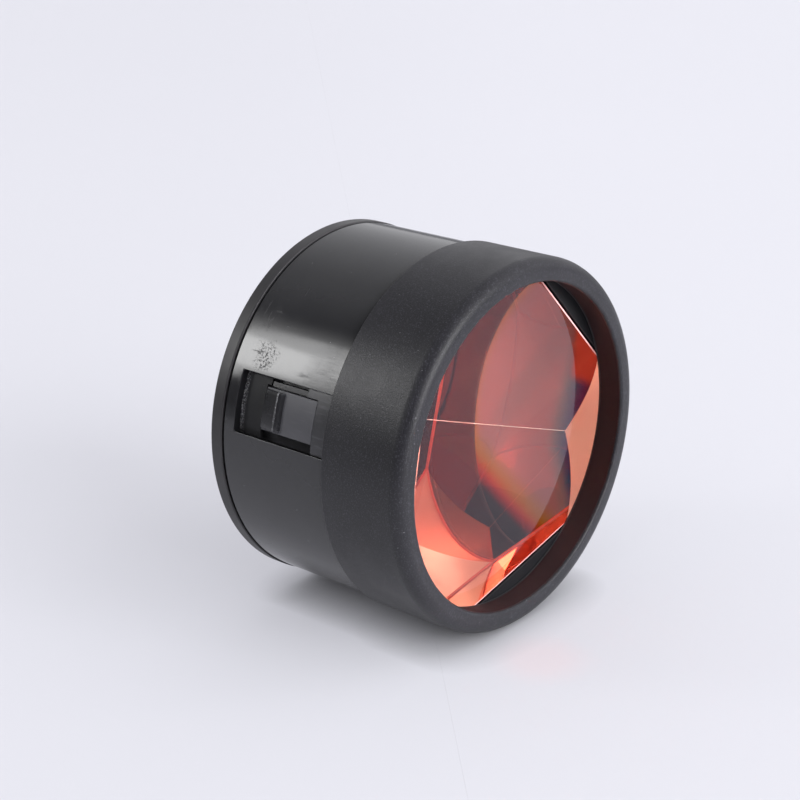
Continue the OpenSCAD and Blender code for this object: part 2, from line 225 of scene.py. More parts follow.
def gloss_barrel():
    """Polished black, with scuffs, dust, a smudge and worn places where the photo has them."""
    m, tree, shader, place = start_material("gloss_black")
    turn, along = around(tree, place)
    radius = BARREL_R * 0.001
    skin = node(tree, "CombineXYZ", X=math_node(tree, "MULTIPLY", turn, radius),
                Y=along).outputs[0]
    broad = noise(tree, place, 45.0, 4.0)
    dust = specks(tree, place, 450.0, 0.05, 0.30)
    colour = mix(tree, remap(tree, broad, 0.3, 0.7, 0.0, 1.0), (0.0165, 0.0165, 0.0185),
                 (0.021, 0.021, 0.023))
    colour = mix(tree, dust, colour, (0.22, 0.22, 0.24))
    # scuffs that run across the barrel, denser towards its rear end
    rear = remap(tree, along, -0.012, 0.014, 0.0, 1.0, True)
    fine = noise(tree, skin, 900.0, 3.0, 0.6, (1.0, 0.12, 1.0))
    cross = noise(tree, skin, 900.0, 3.0, 0.6, (0.15, 1.0, 1.0))
    lines = math_node(tree, "MAXIMUM", remap(tree, fine, 0.60, 0.72, 0.0, 1.0),
                      remap(tree, cross, 0.62, 0.74, 0.0, 1.0))
    patch = remap(tree, noise(tree, skin, 110.0, 3.0), 0.46, 0.62, 0.1, 1.0)
    scuffs = math_node(tree, "MULTIPLY", math_node(tree, "MULTIPLY", lines, patch), rear)
    uneven = noise(tree, skin, 420.0, 3.0, 0.6)

    def spot(turn_at, along_at, inner, outer, ragged):
        """1 near a point of the barrel, 0 beyond outer, with a ragged border."""
        middle = (math.radians(turn_at) * radius, along_at, 0.0)
        away = vector_node(tree, "LENGTH", vector_node(tree, "SUBTRACT", skin, middle))
        edge = math_node(tree, "MULTIPLY_ADD", uneven, ragged, away)
        return remap(tree, edge, outer + ragged / 2, inner + ragged / 2, 0.0, 1.0, True)

    # a fingertip smudge above the left window, a worn place above it, and a brushed one
    blot = noise(tree, skin, 2100.0, 5.0, 0.75, (1.0, 0.8, 1.0))
    smudge = math_node(tree, "MULTIPLY", spot(148.3, 0.0134, 0.0012, 0.0038, 0.008),
                       remap(tree, blot, 0.51, 0.58, 0.0, 1.0))
    worn = math_node(tree, "MULTIPLY", spot(135.5, 0.0175, 0.001, 0.0045, 0.008),
                     remap(tree, cross, 0.46, 0.60, 0.2, 1.0))
    brushed = math_node(tree, "MULTIPLY", spot(150.0, -0.0035, 0.001, 0.0085, 0.004),
                        noise(tree, skin, 3000.0, 3.0, 0.7, (1.0, 0.09, 1.0)))
    rough = remap(tree, broad, 0.3, 0.7, 0.10, 0.14)
    for mask, share in ((scuffs, 0.26), (smudge, 0.40), (brushed, 0.25), (worn, 0.22),
                        (dust, 0.5)):
        rough = math_node(tree, "MULTIPLY_ADD", mask, share, rough)
    tree.links.new(colour, shader.inputs["Base Color"])
    tree.links.new(rough, shader.inputs["Roughness"])
    wave = noise(tree, place, 75.0, 1.0)
    soft = bump(tree, shader, wave, 0.25, 0.0001)
    height = math_node(tree, "ADD", math_node(tree, "MULTIPLY_ADD", brushed, 5.0, scuffs),
                       math_node(tree, "ADD", smudge, worn))
    bump(tree, shader, height, 0.35, 0.00001, soft)
    return m


def polished_glass():
    """Clear glass with a little dust and a faint film."""
    m, tree, shader, place = start_material("optical_glass")
    dust = specks(tree, place, 330.0, 0.03, 0.12)
    tree.links.new(mix(tree, dust, (1.0, 1.0, 1.0), (0.55, 0.52, 0.50)),
                   shader.inputs["Base Color"])
    film = remap(tree, noise(tree, place, 260.0, 4.0), 0.62, 0.85, 0.0, 0.02)
    tree.links.new(math_node(tree, "ADD", film, math_node(tree, "MULTIPLY", dust, 0.35)),
                   shader.inputs["Roughness"])
    shader.inputs["IOR"].default_value = GLASS_IOR
    shader.inputs["Transmission Weight"].default_value = 1.0
    shader.inputs["Specular Tint"].default_value = (0.90, 1.0, 1.2, 1.0)
    return m


def copper(name, light, dark, rough_lo, rough_hi, grain, strength=0.0):
    """Copper between light and dark; grain in 1/m sets its roughness and its bump."""
    m, tree, shader, place = start_material(name)
    broad = noise(tree, place, 90.0, 3.0)
    tree.links.new(mix(tree, remap(tree, broad, 0.3, 0.7, 0.0, 1.0), light, dark),
                   shader.inputs["Base Color"])
    tree.links.new(remap(tree, noise(tree, place, grain, 3.0), 0.3, 0.7, rough_lo, rough_hi),
                   shader.inputs["Roughness"])
    shader.inputs["Metallic"].default_value = 1.0
    if strength:
        bump(tree, shader, noise(tree, place, grain, 3.0), strength, 0.00002)
    return m


def ground_bevel():
    """The fine bevels of the glass, ground, with the coat's pink light painted into their colour.
    """
    m, tree, shader, place = start_material("ground_bevel")
    fine = noise(tree, place, 2500.0, 2.0)
    tree.links.new(mix(tree, fine, (0.95, 0.50, 0.50), (1.0, 0.58, 0.58)),
                   shader.inputs["Base Color"])
    tree.links.new(remap(tree, fine, 0.3, 0.7, 0.45, 0.6), shader.inputs["Roughness"])
    shader.inputs["IOR"].default_value = GLASS_IOR
    shader.inputs["Transmission Weight"].default_value = 0.1
    return m


def ground_wall(name, dark, light):
    """The ground sides of the glass, which scatter what the coat throws on them."""
    m, tree, shader, place = start_material(name)
    fine = noise(tree, place, 2500.0, 2.0)
    tree.links.new(mix(tree, fine, dark, light), shader.inputs["Base Color"])
    tree.links.new(remap(tree, fine, 0.3, 0.7, 0.50, 0.54), shader.inputs["Roughness"])
    shader.inputs["Metallic"].default_value = 1.0
    return m


def window_wall_painted_shade():
    """The cut walls of the barrel's windows: rough, and darker and less shiny than the barrel's
    plastic, which is painted shade.
    """
    m, tree, shader, place = start_material("window_wall_painted_shade")
    fine = noise(tree, place, 3800.0, 3.0, 0.7)
    tree.links.new(mix(tree, fine, (0.004, 0.004, 0.005), (0.008, 0.008, 0.009)),
                   shader.inputs["Base Color"])
    tree.links.new(remap(tree, fine, 0.3, 0.7, 0.50, 0.60), shader.inputs["Roughness"])
    shader.inputs["Specular IOR Level"].default_value = 0.12
    return m


def pocket_painted_shade():
    """Darker than the latch plastic: painted shade on the raised floor in the latch pockets, with
    a chafed strip along the rear end of the floor.
    """
    m, tree, shader, place = start_material("pocket_painted_shade")
    depth = node(tree, "SeparateXYZ", Vector=place).outputs[1]
    fine = noise(tree, place, 3800.0, 3.0, 0.7)
    colour = mix(tree, remap(tree, noise(tree, place, 300.0), 0.3, 0.7, 0.0, 1.0),
                 (0.010, 0.010, 0.0115), (0.015, 0.015, 0.0165))
    chafed = math_node(tree, "MULTIPLY", remap(tree, depth, 0.0167, 0.0177, 0.0, 1.0, True),
                       remap(tree, fine, 0.50, 0.60, 0.0, 1.0))
    specked = specks(tree, place, 700.0, 0.06, 0.5)
    for mask, grey in ((chafed, 0.30), (specked, 0.22)):
        colour = mix(tree, mask, colour, (grey, grey, grey * 1.05))
    tree.links.new(colour, shader.inputs["Base Color"])
    tree.links.new(remap(tree, fine, 0.3, 0.7, 0.45, 0.6), shader.inputs["Roughness"])
    shader.inputs["Specular IOR Level"].default_value = 0.3
    bump(tree, shader, fine, 0.2, 0.00005)
    return m


def cell_black():
    """The prism cell: satin on its front; inside, behind the glass's edges, painted shade makes it
    near-black and dull with a red tint.
    """
    m, tree, shader, place = start_material("cell_black")
    depth = node(tree, "SeparateXYZ", Vector=place).outputs[1]
    inside = remap(tree, depth, -0.02102, -0.02090, 0.0, 1.0)
    fine = noise(tree, place, 3000.0, 2.0)
    colour = mix(tree, noise(tree, place, 60.0, 4.0), (0.0060, 0.0060, 0.0073),
                 (0.0088, 0.0088, 0.0102))
    colour = mix(tree, specks(tree, place, 500.0, 0.05, 0.4), colour, (0.2, 0.2, 0.21))
    # behind the glass's edges: painted shade, near-black with a red tint and almost no shine
    tree.links.new(mix(tree, inside, colour, (0.0022, 0.0012, 0.0013)),
                   shader.inputs["Base Color"])
    tree.links.new(remap(tree, fine, 0.3, 0.7, 0.36, 0.46), shader.inputs["Roughness"])
    tree.links.new(remap(tree, inside, 0.0, 1.0, 0.5, 0.06), shader.inputs["Specular IOR Level"])
    bump(tree, shader, fine, 0.1, 0.00005)
    return m


def turned_metal(name, light, dark, rough):
    """Metal with fine turning marks."""
    m, tree, shader, place = start_material(name)
    lines = noise(tree, place, 3000.0, 2.0, 0.5, (1.0, 0.08, 1.0))
    tree.links.new(mix(tree, lines, light, dark), shader.inputs["Base Color"])
    tree.links.new(remap(tree, lines, 0.3, 0.7, rough - 0.06, rough + 0.08),
                   shader.inputs["Roughness"])
    shader.inputs["Metallic"].default_value = 1.0
    bump(tree, shader, lines, 0.15, 0.00002)
    return m


MAT = {
    "hood": plastic("hood_matt", (0.0085, 0.0083, 0.0104), (0.0118, 0.0115, 0.0142),
                    rough=0.40, spread=0.04, grain=3400.0, strength=0.80, dust=0.9, wear=0.10,
                    gloss=0.42, speckled=0.45),
    "barrel": gloss_barrel(),
    "window": window_wall_painted_shade(),
    "cap": plastic("cap_satin", (0.017, 0.016, 0.018), (0.023, 0.022, 0.024),
                   rough=0.42, spread=0.05, grain=3000.0, strength=0.18, dust=0.3, wear=0.12),
    "latch": plastic("latch_satin", (0.024, 0.024, 0.027), (0.036, 0.036, 0.040),
                     rough=0.34, spread=0.08, grain=2400.0, strength=0.22, dust=0.5, wear=0.35,
                     scratched=0.3),
    # a darker copy of the latch plastic: painted shade on the rib's slope and front, and on the
    # guard rail
    "rib": plastic("latch_rib_painted_shade", (0.009, 0.009, 0.0105), (0.014, 0.014, 0.016),
                   rough=0.27, spread=0.05, grain=2400.0, strength=0.25, dust=0.5, wear=0.6,
                   gloss=0.42, scratched=0.2),
    # a lighter copy of the latch plastic with dense light specks: the ridge's chafing, together
    # with a painted highlight along it
    "ridge": plastic("latch_ridge_chafe_and_highlight", (0.045, 0.045, 0.048), (0.075, 0.075, 0.080),
                     rough=0.30, spread=0.06, grain=2600.0, strength=0.40, dust=0.5,
                     gloss=0.6, speckled=0.8),
    "pocket": pocket_painted_shade(),
    # dark plastic with a red tint: painted copper light from the glass
    "bore": plastic("hood_bore_painted_copper_light", (0.0215, 0.0120, 0.0130), (0.0270, 0.0150, 0.0160),
                    rough=0.55, spread=0.05, grain=3600.0, strength=0.20, dust=0.2, gloss=0.12),
    "cell": cell_black(),
    "seal": plastic("lip_seal", (0.010, 0.010, 0.012), (0.015, 0.015, 0.017),
                    rough=0.40, spread=0.05, grain=3000.0, strength=0.10, dust=0.3),
    "rubber": plastic("seal_rubber", (0.014, 0.014, 0.015), (0.020, 0.020, 0.021),
                      rough=0.55, spread=0.06, grain=2600.0, strength=0.20),
    "cushion": plastic("foam_rubber", (0.10, 0.10, 0.10), (0.14, 0.14, 0.14),
                       rough=0.80, spread=0.06, grain=1800.0, strength=0.60),
    "follower": plastic("follower_grey", (0.07, 0.07, 0.075), (0.09, 0.09, 0.095),
                        rough=0.45, spread=0.06, grain=2600.0, strength=0.15),
    "glass": polished_glass(),
    "mirror": copper("copper_mirror", (0.95, 0.57, 0.49), (0.93, 0.55, 0.47),
                     rough_lo=0.0, rough_hi=0.004, grain=400.0),
    "wall": ground_wall("ground_wall", (0.98, 0.93, 0.82), (1.0, 0.98, 0.88)),
    "edge": ground_wall("ground_edge", (0.80, 0.56, 0.50), (0.88, 0.64, 0.58)),
    "coat": copper("copper_lacquer", (0.72, 0.33, 0.20), (0.60, 0.27, 0.17),
                   rough_lo=0.32, rough_hi=0.42, grain=900.0, strength=0.15),
    "bevel": ground_bevel(),
    "steel": turned_metal("bright_steel", (0.60, 0.61, 0.62), (0.46, 0.47, 0.48), rough=0.26),
    "brass": turned_metal("turned_brass", (0.78, 0.60, 0.29), (0.62, 0.46, 0.20), rough=0.28),
}


# Mesh tools
def rounded(corners, steps):
    """Closed outline from corners (a, b, radius), each corner drawn as an arc."""
    points = []
    for i, (a, b, radius) in enumerate(corners):
        p = Vector((a, b))
        if radius <= 0:
            points.append(p)
            continue
        u = (Vector(corners[i - 1][:2]) - p).normalized()
        v = (Vector(corners[(i + 1) % len(corners)][:2]) - p).normalized()
        half = math.acos(max(-1.0, min(1.0, u.dot(v)))) / 2
        centre = p + (u + v).normalized() * (radius / math.sin(half))
        first = p + u * (radius / math.tan(half)) - centre
        last = p + v * (radius / math.tan(half)) - centre
        a0 = math.atan2(first.y, first.x)
        sweep = (math.atan2(last.y, last.x) - a0 + math.pi) % (2 * math.pi) - math.pi
        for k in range(steps + 1):
            w = a0 + sweep * k / steps
            points.append(centre + radius * Vector((math.cos(w), math.sin(w))))
    return points


def circle(bm, r, d, n):
    """n vertices at the radius r and the depth d."""
    return [bm.verts.new((r * math.cos(2 * math.pi * k / n), r * math.sin(2 * math.pi * k / n), d))
            for k in range(n)]


def lathe(bm, outline, n):
    """Turns a closed outline of (radius, depth) about the optical axis."""
    rings = []
    for r, d in outline:
        on_axis = r < 1e-6
        rings.append([bm.verts.new((0, 0, d))] * n if on_axis else circle(bm, r, d, n))
    for i, ring in enumerate(rings):
        after = rings[(i + 1) % len(rings)]
        for k in range(n):
            quad = [ring[k], ring[(k + 1) % n], after[(k + 1) % n], after[k]]
            quad = [v for j, v in enumerate(quad) if v not in quad[:j]]
            if len(quad) > 2:
                bm.faces.new(quad)


def spin(points, turn):
    """Points (radial, tangential, depth) at the direction turn to (x, y, depth)."""
    c, s = math.cos(math.radians(turn)), math.sin(math.radians(turn))
    return [(c * a - s * t, s * a + c * t, d) for a, t, d in points]


def curved_plate(bm, outline, r_top, r_low, turn):
    """A plate with the outline (t, depth), bent to the radii r_top and r_low."""
    step = 0.55
    flat = bmesh.new()
    flat.faces.new([flat.verts.new((t, d, 0)) for t, d in outline])
    low = min(t for t, _ in outline)
    high = max(t for t, _ in outline)
    for k in range(math.ceil(low / step), math.floor(high / step) + 1):
        if low + 0.05 < k * step < high - 0.05:
            bmesh.ops.bisect_plane(flat, geom=flat.verts[:] + flat.edges[:] + flat.faces[:],
                                   plane_co=(k * step, 0, 0), plane_no=(1, 0, 0))
    made = {}
    for v in flat.verts:
        t, d = v.co.x, v.co.y
        made[v] = [bm.verts.new(p) for p in spin(
            [(math.sqrt(r * r - t * t), t, d) for r in (r_low, r_top)], turn)]
    for f in flat.faces:
        bm.faces.new([made[v][1] for v in f.verts])
        bm.faces.new([made[v][0] for v in reversed(f.verts)])
    for e in flat.edges:
        if len(e.link_faces) == 1:
            a, b = e.verts
            bm.faces.new([made[a][0], made[b][0], made[b][1], made[a][1]])
    flat.free()


def mesh_object(name, bm):
    """An object in the scene from a bmesh, which is freed."""
    me = bpy.data.meshes.new(name)
    bm.to_mesh(me)
    bm.free()
    o = bpy.data.objects.new(name, me)
    bpy.context.scene.collection.objects.link(o)
    return o


def to_object(name, bm, materials, node_name, body="canister", bevel=0.0, sharp=35.0,
              weighted=True):
    """Finishes a mesh in mm about the axis as a piece of the object, in metres."""
    bmesh.ops.transform(bm, matrix=LAY, verts=bm.verts)
    bmesh.ops.recalc_face_normals(bm, faces=bm.faces)
    o = mesh_object(name, bm)
    for material in materials:
        o.data.materials.append(material)
    o.data.shade_smooth()
    o.data.set_sharp_from_angle(angle=math.radians(sharp))
    soften(o, bevel, weighted)
    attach(o, body)
    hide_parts(node_name)


def soften(o, bevel, weighted=True):
    """Rounds the sharp edges by bevel in mm and evens out the normals."""
    if bevel:
        m = o.modifiers.new("edges", "BEVEL")
        m.width = bevel * 0.001
        m.segments = 2
        m.limit_method = "ANGLE"
        m.angle_limit = math.radians(40)
    if weighted:
        m = o.modifiers.new("normals", "WEIGHTED_NORMAL")
        m.keep_sharp = True


# Hood
bm = bmesh.new()
lathe(bm, rounded([
    # the lip's narrow front, the big round outside, the rear edge, the bore for the barrel
    (LIP_FRONT, 0, 0.7), (HOOD_R, 0, 2.8), (HOOD_R, HOOD_LEN, 0.15),
    (BARREL_R + 0.05, HOOD_LEN, 0.1), (BARREL_R + 0.05, 6.0, 0), (LIP_BORE, 6.0, 0.12),
], 8), 288)
# the bore behind the lip's round has a rougher, duller finish of its own, and a red tint that is
# painted copper light from the glass
for f in bm.faces:
    if (max(math.hypot(v.co.x, v.co.y) for v in f.verts) < LIP_BORE + 0.02
            and max(v.co.z for v in f.verts) > 1):
        f.material_index = 1
to_object("hood_shell", bm, [MAT["hood"], MAT["bore"]], "hood")

# thin seal between the hood's lip and the glass
bm = bmesh.new()
lathe(bm, rounded([(LIP_BORE - 0.06, 6.02, 0.12), (37.3, 6.02, 0), (37.3, 6.38, 0),
                   (LIP_BORE - 0.06, 6.38, 0.12)], 4), 240)
to_object("lip_seal", bm, [MAT["seal"]], "front_gasket")


# Glass
def face_normal(turn):
    """Normal of the mirror face on the side turn; the three stand square on each other."""
    lean = math.atan(math.sqrt(2))
    a = math.radians(turn)
    return Vector((math.cos(a) * math.sin(lean), math.sin(a) * math.sin(lean), math.cos(lean)))


def cut(bm, point, normal, slot=0):
    """Cuts away what lies beyond a plane and closes the solid with one face."""
    done = bmesh.ops.bisect_plane(bm, geom=bm.verts[:] + bm.edges[:] + bm.faces[:],
                                  plane_co=point, plane_no=normal, clear_outer=True)
    edges = [g for g in done["geom_cut"] if isinstance(g, bmesh.types.BMEdge)]
    for f in bmesh.ops.holes_fill(bm, edges=edges, sides=0)["faces"]:
        f.material_index = slot


def rod(bm, radius, front, chamfer, back, n, wall=0, rim=0):
    """A solid rod along the axis with one face at each end."""
    rings = [circle(bm, r, d, n) for r, d in (
        (radius - chamfer, front), (radius, front + chamfer), (radius, back))]
    bm.faces.new(rings[0])
    bm.faces.new(rings[2])
    for a, b, slot in ((rings[0], rings[1], rim), (rings[1], rings[2], wall)):
        for k in range(n):
            f = bm.faces.new([a[k], a[(k + 1) % n], b[(k + 1) % n], b[k]])
            f.material_index = slot


apex = Vector((0, 0, TIP))
bm = bmesh.new()
rod(bm, GLASS_R, GLASS_FRONT, 0.5, TIP + 5, 480, wall=2, rim=3)
for turn in TURNS.values():
    cut(bm, apex, face_normal(turn), 1)
# ground bevels along the edges between the mirror faces
for turn in TURNS.values():
    a = math.radians(turn + 60)
    n = Vector((math.cos(a), math.sin(a), math.sqrt(2))) / math.sqrt(3)
    cut(bm, apex - n * ROOF_BEVEL, n, 4)
# and where the mirror faces come out through the front
for turn in TURNS.values():
    a = math.radians(turn)
    out = Vector((math.cos(a), math.sin(a), 0))
    n = (out + Vector((0, 0, FLAT_BEVEL_SLOPE))).normalized()
    cut(bm, out * FLAT_BEVEL_R + Vector((0, 0, GLASS_FRONT)), n, 3)
to_object("prism_glass", bm, [MAT["glass"], MAT["mirror"], MAT["wall"], MAT["bevel"],
                              MAT["edge"]], "corner_cube", sharp=20.0, weighted=False)


def carve(bm, cutters):
    """The mesh with the cutters' meshes taken away."""
    for mesh in [bm] + cutters:
        bmesh.ops.recalc_face_normals(mesh, faces=mesh.faces)
    body = mesh_object("carved", bm)
    tools = [mesh_object("cutter", c) for c in cutters]
    for tool in tools:
        m = body.modifiers.new("cut", "BOOLEAN")
        m.operation = "DIFFERENCE"
        m.solver = "EXACT"
        m.object = tool
    bpy.context.view_layer.update()
    me = bpy.data.meshes.new_from_object(
        body.evaluated_get(bpy.context.evaluated_depsgraph_get()))
    out = bmesh.new()
    out.from_mesh(me)
    for o in [body] + tools:
        old = o.data
        bpy.data.objects.remove(o)
        bpy.data.meshes.remove(old)
    bpy.data.meshes.remove(me)
    return out


# copper coat with its lacquer, a hair behind the mirror faces of the glass
outer, inner = bmesh.new(), bmesh.new()
rod(outer, GLASS_R - 1, 7.4, 0.0001, TIP + 5, 96)
rod(inner, 45, 2.0, 0.0001, TIP + 5, 96)
for turn in TURNS.values():
    cut(outer, apex + face_normal(turn) * 0.2, face_normal(turn))
    cut(inner, apex + face_normal(turn) * 0.03, face_normal(turn))
to_object("copper_coat", carve(outer, [inner]), [MAT["coat"]], "mirror_coat",
          weighted=False)


# Barrel
def window_loop(off):
    """Outline (t, depth) of a latch window, grown by off, with an arc of 6 steps a corner."""
    c_t, d0, d1 = WIN_HALF - WIN_ROUND, WIN_FRONT + WIN_ROUND, WIN_REAR - WIN_ROUND
    r = WIN_ROUND + off
    ts = [c_t * (k / 4 - 1) for k in range(9)]
    ds = [d0 + (d1 - d0) * k / 6 for k in range(7)]
    arc = [math.radians(90 * k / 6) for k in range(1, 6)]
    loop = [(t, d0 - r) for t in ts]
    loop += [(c_t + r * math.sin(w), d0 - r * math.cos(w)) for w in arc]
    loop += [(c_t + r, d) for d in ds]
    loop += [(c_t + r * math.cos(w), d1 + r * math.sin(w)) for w in arc]
    loop += [(t, d1 + r) for t in reversed(ts)]
    loop += [(-c_t - r * math.sin(w), d1 + r * math.cos(w)) for w in arc]
    loop += [(-c_t - r, d) for d in reversed(ds)]
    loop += [(-c_t - r * math.cos(w), d0 - r * math.sin(w)) for w in arc]
    return loop


def skin(bm, radius, off, rows_before, rows_after):
    """One skin of the barrel with three windows; gives its two end rings and the windows.

    It is a grid of faces, whose rows and columns run along the straight sides of the windows.
    """
    c_t, d0, d1 = WIN_HALF - WIN_ROUND, WIN_FRONT + WIN_ROUND, WIN_REAR - WIN_ROUND
    r = WIN_ROUND + off
    edge_t = c_t + r
    inside = [math.degrees(math.asin(c_t * (k / 4 - 1) / radius)) for k in range(9)]
    edge = math.degrees(math.asin(edge_t / radius))
    outside = [edge + (60 - edge) * k / 34 for k in range(35)]
    angles = [-a for a in reversed(outside)] + inside + outside[:-1]
    depths = rows_before + [d0 - r] + [d0 + (d1 - d0) * k / 6 for k in range(7)] + [d1 + r]
    depths += rows_after
    top, bottom = len(rows_before), len(rows_before) + 8
    known = {}

    def vert(p):
        key = tuple(round(c, 5) for c in p)
        if key not in known:
            known[key] = bm.verts.new(p)
        return known[key]

    def on(turn, angle, d):
        a = math.radians(turn + angle)
        return vert((radius * math.cos(a), radius * math.sin(a), d))

    loops = []
    for turn in TURNS.values():
        full = angles + [60.0]
        for i in range(len(full) - 1):
            middle = (full[i] + full[i + 1]) / 2
            for j in range(len(depths) - 1):
                if abs(middle) < edge and top <= j < bottom:
                    continue
                bm.faces.new([on(turn, full[i], depths[j]), on(turn, full[i + 1], depths[j]),
                              on(turn, full[i + 1], depths[j + 1]),
                              on(turn, full[i], depths[j + 1])])
        loop = [vert(p) for p in spin(
            [(math.sqrt(radius ** 2 - t * t), t, d) for t, d in window_loop(off)], turn)]
        loops.append(loop)
        # the four corner fillings beside the arcs; first is the last point before an arc
        for first, t, d in ((8, edge_t, d0 - r), (20, edge_t, d1 + r),
                            (34, -edge_t, d1 + r), (46, -edge_t, d0 - r)):
            corner = on(turn, math.copysign(edge, t), d)
            for k in range(6):
                a, b = loop[(first + k) % len(loop)], loop[(first + k + 1) % len(loop)]
                if corner not in (a, b):
                    bm.faces.new([corner, a, b])
    ring = {}
    for name, d in (("front", depths[0]), ("rear", depths[-1])):
        ring[name] = [on(turn, a, d) for turn in (LEFT - 240, LEFT - 120, LEFT) for a in angles]
    return ring, loops


def bridge(bm, a, b, slot=0):
    """Faces between two closed loops with as many points."""
    for k in range(len(a)):
        j = (k + 1) % len(a)
        bm.faces.new([a[k], a[j], b[j], b[k]]).material_index = slot


bm = bmesh.new()
lip, fine = 0.12, 0.2
outer_ring, outer_loops = skin(bm, BARREL_R, lip, [6.0, 12.0], [47.2, BARREL_END - fine])
inner_ring, inner_loops = skin(bm, BARREL_BORE, 0.0, [6.0, 12.0], [47.2, BARREL_END])
bridge(bm, outer_ring["front"], inner_ring["front"])
# rounded rear edge
last = outer_ring["rear"]
for k in range(1, 5):
    w = math.radians(90 * k / 4)
    shrink = 1 - fine * (1 - math.cos(w)) / BARREL_R
    depth = BARREL_END - fine + fine * math.sin(w)
    ring = [bm.verts.new((v.co.x * shrink, v.co.y * shrink, depth)) for v in outer_ring["rear"]]
    bridge(bm, last, ring)
    last = ring
bridge(bm, last, inner_ring["rear"])
# rounded edges and walls of the windows
for turn, outer_loop, inner_loop in zip(TURNS.values(), outer_loops, inner_loops):
    last = outer_loop
    for k in range(1, 4):
        w = math.radians(90 * k / 3)
        r = BARREL_R - lip * (1 - math.cos(w))
        loop = [bm.verts.new(p) for p in spin(
            [(math.sqrt(r * r - t * t), t, d) for t, d in window_loop(lip * (1 - math.sin(w)))],
            turn)]
        bridge(bm, last, loop)
        last = loop
    # the window walls are darker and less shiny than the barrel: painted shade
    bridge(bm, last, inner_loop, 1)
# screw bosses with their webs
for k in range(3):
    turn = LEFT + 60 + 120 * k
    boss = bmesh.new()
    rod(boss, BOSS_R, BARREL_END - 9, 0.3, BARREL_END, 40)
    hole = bmesh.new()
    rod(hole, INSERT_R, BARREL_END - 4, 0.3, BARREL_END + 1, 32)
    boss = carve(boss, [hole])
    x, y, _ = spin([(SCREW_CIRCLE, 0, 0)], turn)[0]
    bmesh.ops.translate(boss, vec=(x, y, 0), verts=boss.verts)
    part = bpy.data.meshes.new("boss")
    boss.to_mesh(part)
    boss.free()
    bm.from_mesh(part)
    bpy.data.meshes.remove(part)
    curved_plate(bm, [(-1.3, 39.5), (1.3, 39.5), (1.3, 45.5), (-1.3, 45.5)], 37.45, 34.6, turn)
to_object("barrel_shell", bm, [MAT["barrel"], MAT["window"]], "barrel")


# Latches
def box(t0, t1, d0, d1):
    """Outline (t, depth) of a plate from t0 to t1 across and from d0 to d1 along."""
    return [(t0, d0), (t1, d0), (t1, d1), (t0, d1)]


def latch_plate(label, turn):
    """The fixed plate in a window, with the guard rail and the pocket behind the tongue."""
    bm = bmesh.new()
    half = WIN_HALF - 0.1
    pocket_wall = 0.8
    curved_plate(bm, [(-half, 18.1), (half, 18.1), (half, PLATE_REAR), (RAIL_EDGE, PLATE_REAR),
                      (RAIL_EDGE, 27.8), (-half, 27.8)], TONGUE_R, 36.35, turn)
    curved_plate(bm, box(-5.7, RAIL_EDGE, 27.6, 37.9), TONGUE_R - 0.6, TONGUE_R - 1.8, turn)
    # the guard rail takes the darker copy of the latch plastic: painted shade
    for f in bm.faces:
        if f.calc_center_median().z > 28:
            f.material_index = 2
    # flange behind the barrel's wall
    curved_plate(bm, box(-POCKET_HALF, POCKET_HALF, 16.5, PLATE_REAR), 37.3, 36.3, turn)
    # closed pocket: bottom, raised floor behind and beside the tongue's end, front and sides
    curved_plate(bm, box(-POCKET_HALF, POCKET_HALF, POCKET_FRONT, POCKET_REAR), 35.7, 34.9, turn)
    before = len(bm.faces)
    curved_plate(bm, [(-7.7, 38.7), (RAIL_EDGE, 38.7), (RAIL_EDGE, 39.7), (7.7, 39.7),
                      (7.7, POCKET_REAR), (-7.7, POCKET_REAR)], 37.35, 36.6, turn)
    # the raised floor is darker than the latch plastic: painted shade in the recess
    for f in list(bm.faces)[before:]:
        f.material_index = 1
    curved_plate(bm, box(-POCKET_HALF, POCKET_HALF, POCKET_FRONT, PLATE_REAR), 36.8, 35.3, turn)
    for t in (-POCKET_HALF, POCKET_HALF - pocket_wall):
        curved_plate(bm, box(t, t + pocket_wall, POCKET_FRONT, POCKET_REAR), 37.3, 35.3, turn)
    to_object("latch_base_" + label, bm, [MAT["latch"], MAT["pocket"], MAT["rib"]],
              "latch_plate_" + label, bevel=0.03)


def latch_tongue(label, turn):
    """The spring tongue with its catch rib."""
    bm = bmesh.new()
    curved_plate(bm, box(-TONGUE_HALF, TONGUE_HALF, PLATE_REAR + 0.08, TONGUE_REAR),
                 TONGUE_R, TONGUE_R - 1.2, turn)
    # catch rib: its section (radius, depth) is swept across, and shrinks at the rounded ends
    foot_r, foot_front, ridge_front, ridge_rear = 37.9, 33.3, 34.2, 34.55
    section = rounded([(foot_r, TONGUE_REAR, 0), (38.93, TONGUE_REAR, 0.25),
                       (39.72, ridge_rear, 0.05), (39.68, ridge_front, 0.05),
                       (39.25, 33.7, 0.25), (38.4, foot_front, 0.0),
                       (foot_r, foot_front, 0)], 5)
    full_half = 3.65
    end = [(full_half, 1.0), (3.9, 0.95), (4.04, 0.86), (4.1, 0.72)]
    middle = [(-full_half + 2 * full_half * k / 12, 1.0) for k in range(1, 12)]
    slices = []
    for t, share in [(-t, share) for t, share in reversed(end)] + middle + end:
        points = []
        for r, d in section:
            r = foot_r + (r - foot_r) * share
            points.append((math.sqrt(r * r - t * t), t, d))
        slices.append([bm.verts.new(p) for p in spin(points, turn)])
    # the rib takes the darker copy of the latch plastic: painted shade on its slope and front
    for a, b in zip(slices, slices[1:]):
        bridge(bm, a, b, 1)
    for f in (bm.faces.new(slices[0]), bm.faces.new(slices[-1])):
        f.material_index = 1
    # the ridge is chafed, and its lighter colour is also a painted highlight
    for f in bm.faces:
        if f.material_index and ridge_front - 0.03 < f.calc_center_median().z < ridge_rear:
            f.material_index = 2
    to_object("latch_spring_" + label, bm, [MAT["latch"], MAT["rib"], MAT["ridge"]],
              "latch_tongue_" + label, body=label + "_latch", bevel=0.03)


for label, turn in TURNS.items():
    latch_plate(label, turn)
    latch_tongue(label, turn)

